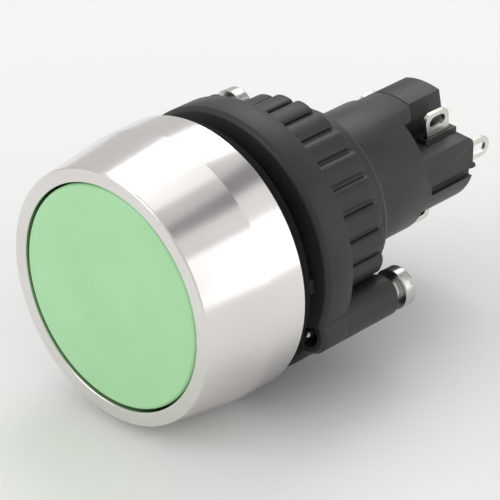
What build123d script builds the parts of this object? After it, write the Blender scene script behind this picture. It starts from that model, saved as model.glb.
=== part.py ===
from build123d import *
import os
from math import cos, radians, sin, tan

# Round panel pushbutton switch, in millimetres.
# Y is the button's axis: the button faces -Y and the solder terminals +Y. X is to the right and Z is up.
# Y = 0 is the rear face of the panel seal, where the front of the panel seats.

# Clearances and fits
running_gap = 0.05
moulding_gap = 0.05
cap_gap = 0.18
contact_gap = 0.05
stop_gap = 0.1

# Panel and travel
panel_slot = 2.05
hole_land = 0.7
travel = 3.0

# Front bezel
bezel_length = 12.46
bezel_taper_length = 8.2
bezel_front_radius = 13.61
bezel_rear_radius = 14.75
bezel_bore_radius = 12.11
bezel_wall = 1.45
bezel_edge_fillet = 0.22

# Panel seal
seal_thickness = 1.74
seal_inset = 0.75
seal_lip = 0.45

# Button cap, plate and carrier
cap_setback = 0.1
cap_face = 1.2
cap_wall = 1.0
cap_depth = 2.7
cap_edge_fillet = 0.3
plate_thickness = 0.7
carrier_plate = 1.1
carrier_hub_radius = 5.0
carrier_hub_length = 3.9
carrier_clip_width = 3.0
carrier_clip_depth = 0.8
carrier_clip_count = 4
carrier_rib_width = 0.9
carrier_rib_height = 1.2

# Plunger and its O-ring
plunger_radius = 2.9
plunger_collar_radius = 3.3
plunger_collar_length = 0.9
oring_section_radius = 0.35
oring_groove_side_gap = 0.1

# Actuator housing
housing_cavity_wall = 1.7
housing_partition = 2.0
housing_partition_y = 1.0
housing_guide_length = 2.0
housing_guide_wall = 1.4
neck_setback = 0.5
collar_head_gap = 1.08
collar_length = 3.6
collar_chamfer_length = 0.42
collar_chamfer_depth = 0.15
lug_height = 1.75
lug_width = 1.6
lug_length = 1.6

# Clamping ring: a round flange with a narrower grooved hub behind it
ring_radius = 14.3
ring_length = 10.75
ring_front_chamfer = 0.42
ring_rear_chamfer = 0.15
ring_band_length = 3.65
hub_wall = 1.05
rib_count = 26
rib_phase_angle = 9.6
rib_low_drop = 0.22
rib_high_drop = 0.1
rib_floor_drop = 0.5
rib_groove_angle = 3.0
rib_floor_angle = 1.6

# Clamp screws and their bosses
screw_angle = -28.5
screw_inset = 1.15
screw_shank_radius = 1.25
screw_head_radius = 2.22
screw_head_height = 1.55
screw_head_stand_off = 1.15
screw_head_fillet = 0.3
screw_slot_width = 0.62
screw_slot_depth = 0.75
screw_slot_angles = (34.0, 12.0)
screw_point = 1.8
screw_point_radius = 0.35
boss_radius = 2.25
boss_proud = 0.6
boss_rear_fillet = 0.3

# Washer in the ring's front face
washer_thickness = 0.6
washer_land = 0.55
washer_notch_inset = 0.88
washer_notch_half_angle = 53.0

# Switching element: casing
tube_radius = 7.4
tube_wall = 1.0
tube_front_wall = 1.2
tube_hole_gap = 0.2
tube_end_y = 24.9
tongue_length = 3.3
tongue_left_x = -2.6
tongue_right_x = 4.1

# Switching element: terminal base, with its lengths measured from the casing's rear edge
base_plug_length = 2.6
base_side_x = 6.4
base_top_z = 2.85
base_bottom_radius = 6.65
base_length = 8.4
base_top_corner = 1.2
upper_lobe_left_x = -2.6
upper_lobe_right_x = 2.1
upper_lobe_length = 7.45
upper_lobe_rake = 1.2
side_groove_z = -1.55
side_groove_width = 0.6
side_groove_depth = 0.5
side_groove_inset = 1.4
rear_nib_radius = 0.3
rear_nib_height = 0.5
lug_pad_height = 0.5
lug_pad_margin = 0.4
lower_slot_margin = 0.5
lower_slot_top_z = -3.9
base_spring_post_radius = 1.05
base_spring_post_length = 1.6

# Terminals: flat strips in upright planes, with lugs at two distances behind the casing's rear edge
strip_thickness = 0.5
strip_width = 1.5
strip_x = 3.45
strip_inner_z = 1.0
upper_right_lug = (3.9, 7.3)
upper_left_lug = (1.4, 4.4)
lower_lug = (1.5, 4.4)
upper_lug_top_z = 5.95
upper_left_lug_top_z = 6.3
lower_lug_end_z = -6.35
lug_corner_radius = 0.9
lug_eye_width = 1.15
lug_eye_length = 1.7
lug_eye_margin = 0.6
com_wall = 0.5
com_width = 2.3
com_centre_z = 0.5
com_reach = 3.3
com_front_y = 8.0
com_eye_length = 2.3

# Contacts
rest_contact_y = 9.0
rivet_head_radius = 0.75
rivet_head_height = 0.35
rivet_shank_radius = 0.35
rivet_gap = 0.02
leaf_thickness = 0.4
leaf_half_width = 0.75
leaf_root = 0.7
toe_thickness = 0.4
toe_length = 1.8
tab_slide_gap = 0.6
tab_com_gap = 0.65
tab_overlap = 0.85

# Slide and springs
slide_front_y = 5.0
slide_half_x = 2.2
slide_half_z = 3.4
slide_rear_y = 14.2
slide_corner = 0.5
rail_half_width = 0.8
slide_spring_bore_radius = 1.75
slide_spring_bore_depth = 3.2
slide_spring_wire = 0.35
slide_spring_turns = 7
return_spring_wire = 0.8
return_spring_turns = 5
spring_side_gap = 0.25

# Places along the axis that follow from the sizes above
bezel_rear_y = -seal_thickness
bezel_front_y = bezel_rear_y - bezel_length
bezel_kink_y = bezel_front_y + bezel_taper_length
cap_front_y = bezel_front_y + cap_setback
cap_inner_y = cap_front_y + cap_face
cap_rear_y = cap_front_y + cap_depth
plate_rear_y = cap_inner_y + plate_thickness
carrier_rear_y = plate_rear_y + carrier_plate
bezel_step_y = carrier_rear_y + travel + stop_gap
hub_rear_y = carrier_rear_y + carrier_hub_length
partition_rear_y = housing_partition_y + housing_partition
guide_front_y = housing_partition_y - housing_guide_length
ring_front_y = panel_slot
ring_rear_y = ring_front_y + ring_length
flange_rear_y = ring_front_y + ring_band_length
neck_end_y = ring_rear_y - neck_setback
collar_end_y = neck_end_y + collar_length
boss_rear_y = ring_rear_y + boss_proud
tube_front_y = partition_rear_y
tongue_end_y = tube_end_y + tongue_length
base_front_y = tube_end_y - base_plug_length
base_end_y = tube_end_y + base_length
upper_lobe_end_y = tube_end_y + upper_lobe_length
upper_right_lug_y = tuple(tube_end_y + distance for distance in upper_right_lug)
upper_left_lug_y = tuple(tube_end_y + distance for distance in upper_left_lug)
lower_lug_y = tuple(tube_end_y + distance for distance in lower_lug)
com_end_y = base_end_y + com_reach

# Radii and widths that follow
cap_radius = bezel_bore_radius - cap_gap
cap_inner_radius = cap_radius - cap_wall
carrier_radius = cap_inner_radius - moulding_gap
housing_flange_radius = bezel_rear_radius - bezel_wall - moulding_gap
screw_circle_radius = ring_radius - screw_inset
panel_hole_radius = screw_circle_radius - screw_shank_radius - running_gap - hole_land
neck_radius = panel_hole_radius - running_gap
housing_cavity_radius = neck_radius - housing_cavity_wall
collar_radius = screw_circle_radius - screw_head_radius - collar_head_gap
lug_reach = neck_radius + lug_height
seal_radius = bezel_rear_radius - seal_inset
guide_bore_radius = plunger_radius + running_gap
tube_bore_radius = tube_radius - tube_wall
plug_radius = tube_bore_radius - moulding_gap
washer_outer_radius = ring_radius - ring_front_chamfer
washer_inner_radius = panel_hole_radius + washer_land
rib_crest_radius = panel_hole_radius + hub_wall
com_x = plug_radius - com_wall - strip_thickness
tab_sides = (slide_half_x + tab_slide_gap, com_x - tab_com_gap)
rivet_x = (tab_sides[0] + tab_sides[1]) / 2

# The moving contact: front rivet head, leaf and rear rivet head between the two fixed contacts
leaf_front_y = rest_contact_y + contact_gap + rivet_head_height
leaf_rear_y = leaf_front_y + leaf_thickness
rest_tab_rear_y = rest_contact_y - rivet_head_height
work_contact_y = leaf_rear_y + rivet_head_height + travel + contact_gap
work_tab_front_y = work_contact_y + rivet_head_height
strip_outer_z = strip_inner_z + strip_width


def turned(*points, mode=Mode.ADD):
    """A body of revolution about Y, from (radius, y) points."""
    with BuildSketch(Plane.XY) as profile:
        with BuildLine():
            Polyline(*points, close=True)
        make_face()
    revolve(profile.sketch, axis=Axis.Y, mode=mode)


def block(x, y, z, mode=Mode.ADD):
    """A box from its low and high sides along each axis."""
    with Locations(((x[0] + x[1]) / 2, (y[0] + y[1]) / 2, (z[0] + z[1]) / 2)):
        Box(x[1] - x[0], y[1] - y[0], z[1] - z[0], mode=mode)


def cross_plane(y):
    """The plane across the axis at y, with its own X to the right and its own Y up."""
    return Plane(origin=(0, y, 0), x_dir=(1, 0, 0), z_dir=(0, -1, 0))


def side_plane(x):
    """The upright plane at x, with its own X rearwards and its own Y up."""
    return Plane(origin=(x, 0, 0), x_dir=(0, 1, 0), z_dir=(1, 0, 0))


def polar(radius, angle):
    return (radius * cos(radians(angle)), radius * sin(radians(angle)))


def turned_point(outward, across, angle):
    """A point given along and across the direction at an angle."""
    x, y = polar(outward, angle)
    dx, dy = polar(across, angle + 90)
    return (x + dx, y + dy)


def save(part, name):
    part.label = name
    export_step(part, f"parts/{name}.step")


def coil(wire, turns, mean_radius, start_y, end_y):
    """A compression spring about Y that stands between two seats."""
    length = end_y - start_y - wire
    with BuildPart() as spring:
        with BuildLine():
            path = Helix(
                pitch=length / turns,
                height=length,
                radius=mean_radius,
                center=(0, start_y + wire / 2, 0),
                direction=(0, 1, 0),
            )
        with BuildSketch(Plane(origin=path @ 0, z_dir=path % 0)):
            Circle(wire / 2)
        sweep(is_frenet=True)
    return spring.part


os.makedirs("parts", exist_ok=True)


# Front bezel: a tapered turned shell with a guide bore for the cap
with BuildPart() as front_bezel:
    shell_radius = bezel_rear_radius - bezel_wall
    turned(
        (bezel_bore_radius, bezel_front_y),
        (bezel_front_radius, bezel_front_y),
        (bezel_rear_radius - running_gap, bezel_kink_y),
        (bezel_rear_radius, bezel_rear_y),
        (shell_radius, bezel_rear_y),
        (shell_radius, bezel_step_y),
        (bezel_bore_radius, bezel_step_y),
    )
    front_face = front_bezel.faces().sort_by(Axis.Y)[0]
    fillet(front_face.edges(), bezel_edge_fillet)
save(front_bezel.part, "front_bezel")


# Button cap: a shallow cup, open to the rear
with BuildPart() as button_cap:
    turned(
        (0, cap_front_y),
        (cap_radius, cap_front_y),
        (cap_radius, cap_rear_y),
        (cap_inner_radius, cap_rear_y),
        (cap_inner_radius, cap_inner_y),
        (0, cap_inner_y),
    )
    fillet(button_cap.faces().sort_by(Axis.Y)[0].edges(), cap_edge_fillet)
save(button_cap.part, "button_cap")


# Marking plate behind the cap's face
with BuildPart() as marking_plate:
    turned((0, cap_inner_y), (carrier_radius, cap_inner_y), (carrier_radius, plate_rear_y), (0, plate_rear_y))
save(marking_plate.part, "marking_plate")


# Button carrier: a plate with a ribbed hub for the plunger, notched for the cap's clips
with BuildPart() as button_carrier:
    turned((0, plate_rear_y), (carrier_radius, plate_rear_y), (carrier_radius, carrier_rear_y), (0, carrier_rear_y))
    turned(
        (plunger_radius, carrier_rear_y),
        (carrier_hub_radius, carrier_rear_y),
        (carrier_hub_radius, hub_rear_y),
        (plunger_radius, hub_rear_y),
    )
    with BuildSketch(cross_plane(carrier_rear_y)):
        with PolarLocations(carrier_radius, carrier_clip_count, 45):
            Rectangle(2 * carrier_clip_depth, carrier_clip_width)
    extrude(amount=carrier_plate, mode=Mode.SUBTRACT)
    rib_inner = carrier_hub_radius + 2 * spring_side_gap + return_spring_wire
    rib_outer = housing_cavity_radius - spring_side_gap
    with BuildSketch(cross_plane(carrier_rear_y)):
        with PolarLocations((rib_inner + rib_outer) / 2, carrier_clip_count):
            Rectangle(rib_outer - rib_inner, carrier_rib_width)
    extrude(amount=-carrier_rib_height)
save(button_carrier.part, "button_carrier")


# Plunger: from the carrier through the housing's guide to the slide, with a groove for the O-ring
# and a collar behind the partition that keeps the button in
oring_mean_radius = guide_bore_radius - running_gap / 2 - oring_section_radius
oring_groove_radius = oring_mean_radius - oring_section_radius
oring_y = (guide_front_y + partition_rear_y) / 2 - travel / 2
groove_half = oring_section_radius + oring_groove_side_gap
collar_y = partition_rear_y + contact_gap
with BuildPart() as plunger:
    turned(
        (0, carrier_rear_y),
        (plunger_radius, carrier_rear_y),
        (plunger_radius, oring_y - groove_half),
        (oring_groove_radius, oring_y - groove_half),
        (oring_groove_radius, oring_y + groove_half),
        (plunger_radius, oring_y + groove_half),
        (plunger_radius, collar_y),
        (plunger_collar_radius, collar_y),
        (plunger_collar_radius, collar_y + plunger_collar_length),
        (plunger_radius, collar_y + plunger_collar_length),
        (plunger_radius, slide_front_y),
        (0, slide_front_y),
    )
save(plunger.part, "plunger")

with BuildPart() as plunger_oring:
    with BuildSketch(Plane.XY):
        with Locations((oring_mean_radius, oring_y)):
            Circle(oring_section_radius)
    revolve(axis=Axis.Y)
save(plunger_oring.part, "plunger_oring")


# Return spring between the carrier and the housing's partition
return_spring_radius = carrier_hub_radius + spring_side_gap + return_spring_wire / 2
return_spring = coil(
    return_spring_wire, return_spring_turns, return_spring_radius, carrier_rear_y, housing_partition_y
)
save(return_spring, "return_spring")


# Actuator housing: front flange, neck through the panel, guide for the plunger, and a socket for the
# switching element that ends in a narrower collar behind the clamping ring
with BuildPart() as actuator_housing:
    turned(
        (housing_cavity_radius, bezel_step_y),
        (housing_flange_radius, bezel_step_y),
        (housing_flange_radius, bezel_rear_y),
        (neck_radius, bezel_rear_y),
        (neck_radius, neck_end_y),
        (collar_radius, neck_end_y),
        (collar_radius, collar_end_y - collar_chamfer_length),
        (collar_radius - collar_chamfer_depth, collar_end_y),
        (tube_radius + moulding_gap, collar_end_y),
        (tube_radius + moulding_gap, partition_rear_y),
        (guide_bore_radius, partition_rear_y),
        (guide_bore_radius, guide_front_y),
        (guide_bore_radius + housing_guide_wall, guide_front_y),
        (guide_bore_radius + housing_guide_wall, housing_partition_y),
        (housing_cavity_radius, housing_partition_y),
    )
    block((neck_radius - 1, lug_reach), (bezel_rear_y, bezel_rear_y + seal_thickness + lug_length),
          (-lug_width / 2, lug_width / 2))
save(actuator_housing.part, "actuator_housing")


# Panel seal: a flat ring with a thin raised lip, cut out for the housing's lug
with BuildPart() as panel_seal:
    seal_bore = neck_radius + moulding_gap
    turned(
        (seal_bore, bezel_rear_y),
        (seal_radius, bezel_rear_y),
        (seal_radius, -seal_lip),
        (seal_radius - seal_lip / 2, 0),
        (seal_bore, 0),
    )
    block((0, lug_reach + moulding_gap), (bezel_rear_y, 0),
          (-lug_width / 2 - moulding_gap, lug_width / 2 + moulding_gap), mode=Mode.SUBTRACT)
save(panel_seal.part, "panel_seal")


# Hub of the clamping ring: lobes that each slope a little one way, with narrow flat-floored grooves between
rib_low_radius = rib_crest_radius - rib_low_drop
rib_high_radius = rib_crest_radius - rib_high_drop
rib_floor_radius = rib_crest_radius - rib_floor_drop
rib_pitch_angle = 360 / rib_count
with BuildPart() as grooved_hub:
    with BuildSketch(cross_plane(flange_rear_y)):
        with BuildLine():
            for rib in range(rib_count):
                groove = rib_phase_angle + rib * rib_pitch_angle
                start = groove + rib_groove_angle / 2
                end = groove + rib_pitch_angle - rib_groove_angle / 2
                Polyline(
                    polar(rib_high_radius, groove - rib_groove_angle / 2),
                    polar(rib_floor_radius, groove - rib_floor_angle / 2),
                    polar(rib_floor_radius, groove + rib_floor_angle / 2),
                    polar(rib_low_radius, start),
                )
                ThreePointArc(
                    polar(rib_low_radius, start),
                    polar(rib_crest_radius, (start + end) / 2),
                    polar(rib_high_radius, end),
                )
        make_face()
    extrude(amount=-(ring_rear_y - flange_rear_y))
    # The rear edge is chamfered
    turned(
        (rib_crest_radius - ring_rear_chamfer, ring_rear_y),
        (rib_crest_radius + ring_rear_chamfer, ring_rear_y - 2 * ring_rear_chamfer),
        (rib_crest_radius + ring_rear_chamfer, ring_rear_y),
        mode=Mode.SUBTRACT,
    )


def washer_outline(gap):
    """The washer's flat outline in the ring's front plane, smaller all round by gap."""
    with BuildSketch(cross_plane(ring_front_y)) as outline:
        Circle(washer_outer_radius - gap)
        Circle(washer_inner_radius + gap, mode=Mode.SUBTRACT)
        notch_run = boss_radius + washer_notch_inset
        notch_half = notch_run * tan(radians(washer_notch_half_angle))
        notch_apex = screw_circle_radius - washer_notch_inset - gap
        for turn in (screw_angle, screw_angle + 180):
            with BuildLine():
                Polyline(
                    turned_point(notch_apex, 0, turn),
                    turned_point(notch_apex + notch_run, notch_half, turn),
                    turned_point(notch_apex + notch_run, -notch_half, turn),
                    close=True,
                )
            make_face(mode=Mode.SUBTRACT)
    return outline.sketch


# Clamping ring: round flange, grooved hub and two screw bosses
boss_places = [polar(screw_circle_radius, screw_angle), polar(screw_circle_radius, screw_angle + 180)]
ring_bore_radius = neck_radius + moulding_gap
with BuildPart() as clamping_ring:
    with BuildSketch(cross_plane(ring_front_y)):
        Circle(ring_radius)
        with Locations(*boss_places):
            Circle(boss_radius)
    extrude(amount=-ring_band_length)
    chamfer(clamping_ring.faces().sort_by(Axis.Y)[0].edges(), ring_front_chamfer)
    add(grooved_hub.part)
    with BuildSketch(cross_plane(flange_rear_y)):
        with Locations(*boss_places):
            Circle(boss_radius)
    extrude(amount=flange_rear_y - boss_rear_y)
    boss_ends = clamping_ring.faces().filter_by(Axis.Y).sort_by(Axis.Y)[-2:]
    fillet(boss_ends.edges(), boss_rear_fillet)
    with BuildSketch(cross_plane(ring_front_y)):
        Circle(ring_bore_radius)
    extrude(amount=-ring_length, mode=Mode.SUBTRACT)
    with BuildSketch(cross_plane(ring_front_y)):
        with Locations(*boss_places):
            Circle(screw_shank_radius + running_gap)
    extrude(amount=ring_front_y - boss_rear_y, mode=Mode.SUBTRACT)
    extrude(washer_outline(0), amount=-washer_thickness, mode=Mode.SUBTRACT)
save(clamping_ring.part, "clamping_ring")


# Washer let into the ring's front face
with BuildPart() as ring_washer:
    extrude(washer_outline(moulding_gap / 2), amount=-washer_thickness)
save(ring_washer.part, "ring_washer")


# Clamp screws: cheese heads with a slot, turned by hand to different angles
head_under_y = boss_rear_y + screw_head_stand_off
head_end_y = head_under_y + screw_head_height
point_end_y = ring_front_y + contact_gap
with BuildPart() as clamp_screws:
    for place in boss_places:
        with BuildSketch(cross_plane(point_end_y)):
            with Locations(place):
                Circle(screw_point_radius)
        with BuildSketch(cross_plane(point_end_y + screw_point)):
            with Locations(place):
                Circle(screw_shank_radius)
        loft()
        with BuildSketch(cross_plane(point_end_y + screw_point)):
            with Locations(place):
                Circle(screw_shank_radius)
        extrude(amount=point_end_y + screw_point - head_under_y)
        with BuildSketch(cross_plane(head_under_y)):
            with Locations(place):
                Circle(screw_head_radius)
        extrude(amount=-screw_head_height)
    head_ends = clamp_screws.faces().filter_by(Axis.Y).sort_by(Axis.Y)[-2:]
    fillet(head_ends.edges(), screw_head_fillet)
    for place, slot_angle in zip(boss_places, screw_slot_angles):
        with BuildSketch(cross_plane(head_end_y)):
            with Locations(Location((*place, 0), (0, 0, slot_angle))):
                Rectangle(3 * screw_head_radius, screw_slot_width)
        extrude(amount=screw_slot_depth, mode=Mode.SUBTRACT)
save(clamp_screws.part, "clamp_screws")


# Casing of the switching element: a round cup with a tongue over the top of its open rear end
with BuildPart() as switch_body:
    front_hole_radius = plunger_collar_radius + tube_hole_gap
    turned(
        (front_hole_radius, tube_front_y),
        (tube_radius, tube_front_y),
        (tube_radius, tongue_end_y),
        (tube_bore_radius, tongue_end_y),
        (tube_bore_radius, tube_front_y + tube_front_wall),
        (front_hole_radius, tube_front_y + tube_front_wall),
    )
    beyond = 2 * tube_radius
    block((-beyond, beyond), (tube_end_y, tongue_end_y), (-beyond, 0), mode=Mode.SUBTRACT)
    block((-beyond, tongue_left_x), (tube_end_y, tongue_end_y), (-beyond, beyond), mode=Mode.SUBTRACT)
    block((tongue_right_x, beyond), (tube_end_y, tongue_end_y), (-beyond, beyond), mode=Mode.SUBTRACT)
    # Rails above and below that guide the slide
    rail_inner_z = slide_half_z + running_gap
    for rail_z in ((rail_inner_z, tube_radius - tube_wall / 2), (tube_wall / 2 - tube_radius, -rail_inner_z)):
        block((-rail_half_width, rail_half_width), (tube_front_y, slide_rear_y + travel), rail_z)
save(switch_body.part, "switch_body")


# Terminals: each is one flat strip with a soldering lug outside and a bent contact tab inside
def strip_face(x, run, lug, eye):
    """A strip in the upright plane at x: its run, its lug with rounded corners, and the lug's eye."""
    with BuildSketch(side_plane(x)) as outline:
        with Locations(((run[0] + run[1]) / 2, (run[2] + run[3]) / 2)):
            Rectangle(run[1] - run[0], run[3] - run[2])
        with Locations(((lug[0] + lug[1]) / 2, (lug[2] + lug[3]) / 2)):
            Rectangle(lug[1] - lug[0], lug[3] - lug[2])
        tip = max(lug[2:], key=abs)
        corners = [v for v in outline.vertices() if abs(v.Y - tip) < moulding_gap]
        fillet(corners, lug_corner_radius)
        with Locations(eye):
            SlotOverall(lug_eye_length, lug_eye_width, mode=Mode.SUBTRACT)
    return outline.sketch


def lug_terminal(side, lug_y, tip_z, tab_y):
    """A terminal whose lug stands up or down; side is 1 on the right and -1 on the left."""
    updown = 1 if tip_z > 0 else -1
    near, far = updown * strip_inner_z, updown * strip_outer_z
    low, high = sorted((near, far))
    lug_low, lug_high = sorted((near, tip_z))
    inner_x = side * strip_x
    outer_x = side * (strip_x + strip_thickness)
    eye = ((lug_y[0] + lug_y[1]) / 2, tip_z - updown * (lug_eye_margin + lug_eye_width / 2))
    with BuildPart() as terminal:
        run = (tab_y[0], lug_y[1], low, high)
        extrude(strip_face(min(inner_x, outer_x), run, (*lug_y, lug_low, lug_high), eye), amount=strip_thickness)
        tab_x = sorted((side * tab_sides[0], side * tab_sides[1]))
        tab_z = sorted((far, -updown * tab_overlap))
        block(tab_x, tab_y, tab_z)
        with BuildSketch(cross_plane(tab_y[0])):
            with Locations((side * rivet_x, 0)):
                Circle(rivet_shank_radius + rivet_gap)
        extrude(amount=tab_y[0] - tab_y[1], mode=Mode.SUBTRACT)
    return terminal.part


rest_tab = (rest_tab_rear_y - strip_thickness, rest_tab_rear_y)
work_tab = (work_tab_front_y, work_tab_front_y + strip_thickness)
save(lug_terminal(1, upper_right_lug_y, upper_lug_top_z, rest_tab), "terminal_nc_right")
save(lug_terminal(-1, upper_left_lug_y, upper_left_lug_top_z, rest_tab), "terminal_nc_left")
save(lug_terminal(1, lower_lug_y, lower_lug_end_z, work_tab), "terminal_no_right")
save(lug_terminal(-1, lower_lug_y, lower_lug_end_z, work_tab), "terminal_no_left")

for side, name in ((1, "terminal_com_right"), (-1, "terminal_com_left")):
    with BuildPart() as terminal_com:
        low_x = min(side * com_x, side * (com_x + strip_thickness))
        with BuildSketch(side_plane(low_x)):
            round_y = com_end_y - com_width / 2
            with Locations(((com_front_y + round_y) / 2, com_centre_z)):
                Rectangle(round_y - com_front_y, com_width)
            with Locations((round_y, com_centre_z)):
                Circle(com_width / 2)
            with Locations((com_end_y - lug_eye_margin - com_eye_length / 2, com_centre_z)):
                SlotOverall(com_eye_length, lug_eye_width, mode=Mode.SUBTRACT)
        extrude(amount=strip_thickness)
    save(terminal_com.part, name)


def cut_round(x, y, z, gap=moulding_gap):
    """Cuts a box that is larger by gap on every side."""
    block((x[0] - gap, x[1] + gap), (y[0] - gap, y[1] + gap), (z[0] - gap, z[1] + gap), mode=Mode.SUBTRACT)


def strip_sides(side, inner):
    return sorted((side * inner, side * (inner + strip_thickness)))


# Terminal base: a plug in the casing, a lower lobe that carries the strips, an upper lobe under the tongue
lobe_middle = (upper_lobe_left_x + upper_lobe_right_x) / 2
lobe_width = upper_lobe_right_x - upper_lobe_left_x
lobe_low_z = base_top_z - base_top_corner
lobe_full_y = tongue_end_y + moulding_gap
with BuildPart() as terminal_base:
    with BuildSketch(cross_plane(base_front_y)):
        Circle(plug_radius)
    extrude(amount=-base_plug_length)
    with BuildSketch(cross_plane(base_front_y)):
        Circle(base_spring_post_radius)
    extrude(amount=base_spring_post_length)
    # Lower lobe: round below, flat at the sides and on top
    with BuildSketch(cross_plane(tube_end_y)):
        Circle(base_bottom_radius)
        with Locations((0, base_top_z)):
            Rectangle(4 * base_side_x, base_bottom_radius, align=(Align.CENTER, Align.MIN), mode=Mode.SUBTRACT)
        Rectangle(2 * base_side_x, 4 * base_bottom_radius, mode=Mode.INTERSECT)
        Rectangle(2 * base_side_x, base_top_z, align=(Align.CENTER, Align.MIN))
    extrude(amount=tube_end_y - base_end_y)
    fillet(terminal_base.edges().filter_by(Axis.X).sort_by(Axis.Y)[-1], base_top_corner)
    # Upper lobe: low under the tongue, then as high as the tongue
    with BuildSketch(cross_plane(tube_end_y)):
        Circle(plug_radius)
        with Locations((lobe_middle, lobe_low_z)):
            Rectangle(lobe_width, 2 * tube_radius, align=(Align.CENTER, Align.MIN), mode=Mode.INTERSECT)
    extrude(amount=tube_end_y - lobe_full_y)
    with BuildSketch(cross_plane(lobe_full_y)):
        Circle(tube_radius)
        with Locations((lobe_middle, lobe_low_z)):
            Rectangle(lobe_width, 2 * tube_radius, align=(Align.CENTER, Align.MIN), mode=Mode.INTERSECT)
    extrude(amount=lobe_full_y - upper_lobe_end_y - upper_lobe_rake)
    # Its end leans, and is longer lower down
    with BuildSketch(side_plane(upper_lobe_left_x)):
        with BuildLine():
            Polyline(
                (upper_lobe_end_y, tube_radius),
                (upper_lobe_end_y + upper_lobe_rake, lobe_low_z),
                (upper_lobe_end_y + 2 * upper_lobe_rake, lobe_low_z),
                (upper_lobe_end_y + 2 * upper_lobe_rake, tube_radius),
                close=True,
            )
        make_face()
    extrude(amount=lobe_width, mode=Mode.SUBTRACT)
    # Side grooves, and the nibs on the rear face above them
    for side in (1, -1):
        groove_x = sorted((side * (base_side_x - side_groove_depth), side * base_bottom_radius))
        groove_z = (side_groove_z - side_groove_width / 2, side_groove_z + side_groove_width / 2)
        block(groove_x, (tube_end_y + side_groove_inset, base_end_y), groove_z, mode=Mode.SUBTRACT)
        with BuildSketch(cross_plane(base_end_y)):
            with Locations((side * (base_side_x - rear_nib_radius), groove_z[1] + rear_nib_radius)):
                Circle(rear_nib_radius)
        extrude(amount=-rear_nib_height)
    # Pads round the upper lugs, and slots for their strips
    for side, lug_y in ((1, upper_right_lug_y), (-1, upper_left_lug_y)):
        sides = strip_sides(side, strip_x)
        block(
            (sides[0] - lug_pad_margin, sides[1] + lug_pad_margin),
            (lug_y[0] - lug_pad_margin, lug_y[1] + lug_pad_margin),
            (strip_outer_z, base_top_z + lug_pad_height),
        )
        cut_round(sides, (base_front_y, lug_y[1]), (strip_inner_z, strip_outer_z))
        cut_round(sides, lug_y, (strip_inner_z, 2 * base_top_z))
    # Slots for the lower strips, wide open from below round the lugs, and for the common strips
    com_z = (com_centre_z - com_width / 2, com_centre_z + com_width / 2)
    for side in (1, -1):
        sides = strip_sides(side, strip_x)
        cut_round(sides, (base_front_y, lower_lug_y[1]), (-strip_outer_z, -strip_inner_z))
        cut_round(sides, lower_lug_y, (-base_bottom_radius, -strip_inner_z))
        cut_round(sides, lower_lug_y, (-base_bottom_radius, lower_slot_top_z - lower_slot_margin), lower_slot_margin)
        cut_round(strip_sides(side, com_x), (base_front_y, base_end_y), com_z)
save(terminal_base.part, "terminal_base")


# Contact slide: a block pushed by the plunger, with slots for the leaves and a bore for its spring
slide_bore_floor_y = slide_rear_y - slide_spring_bore_depth
with BuildPart() as contact_slide:
    block((-slide_half_x, slide_half_x), (slide_front_y, slide_rear_y), (-slide_half_z, slide_half_z))
    fillet(contact_slide.edges().filter_by(Axis.Y), slide_corner)
    with BuildSketch(cross_plane(slide_bore_floor_y)):
        Circle(slide_spring_bore_radius)
    extrude(amount=-slide_spring_bore_depth, mode=Mode.SUBTRACT)
    for side in (1, -1):
        root_x = sorted((side * (slide_half_x - leaf_root), side * slide_half_x))
        cut_round(root_x, (leaf_front_y, leaf_rear_y), (-leaf_half_width, leaf_half_width))
save(contact_slide.part, "contact_slide")

slide_spring_radius = slide_spring_bore_radius - running_gap - moulding_gap - slide_spring_wire / 2
slide_spring = coil(slide_spring_wire, slide_spring_turns, slide_spring_radius, slide_bore_floor_y, base_front_y)
save(slide_spring, "slide_spring")


# Moving contacts: a leaf held in the slide, with a toe that wipes the common terminal
toe_x = com_x - contact_gap
for side, name in ((1, "moving_contact_right"), (-1, "moving_contact_left")):
    with BuildPart() as moving_contact:
        leaf_sides = sorted((side * (slide_half_x - leaf_root), side * toe_x))
        block(leaf_sides, (leaf_front_y, leaf_rear_y), (-leaf_half_width, leaf_half_width))
        toe_sides = sorted((side * (toe_x - toe_thickness), side * toe_x))
        block(toe_sides, (leaf_front_y, leaf_front_y + toe_length), (-leaf_half_width, leaf_half_width))
        with BuildSketch(cross_plane(leaf_front_y)):
            with Locations((side * rivet_x, 0)):
                Circle(rivet_shank_radius + rivet_gap)
        extrude(amount=-leaf_thickness, mode=Mode.SUBTRACT)
    save(moving_contact.part, name)


def rivet(x, head_y, shank_y):
    """Adds a contact rivet: a head from head_y rearwards, and a shank between two places."""
    for radius, low_y, high_y in (
        (rivet_head_radius, head_y, head_y + rivet_head_height),
        (rivet_shank_radius, *shank_y),
    ):
        with Locations(Location((x, (low_y + high_y) / 2, 0), (90, 0, 0))):
            Cylinder(radius, high_y - low_y)


# Contact rivets: one through each leaf with a head on both sides, and one in each tab
with BuildPart() as moving_rivets:
    for side in (1, -1):
        rivet(side * rivet_x, leaf_front_y - rivet_head_height, (leaf_front_y, leaf_rear_y))
        rivet(side * rivet_x, leaf_rear_y, (leaf_front_y, leaf_rear_y))
save(moving_rivets.part, "moving_rivets")

with BuildPart() as fixed_rivets:
    for side in (1, -1):
        rivet(side * rivet_x, rest_tab_rear_y, rest_tab)
        rivet(side * rivet_x, work_contact_y, work_tab)
save(fixed_rivets.part, "fixed_rivets")
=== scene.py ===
import math

import bmesh
import bpy
import numpy as np
from mathutils import Matrix, Vector


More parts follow.
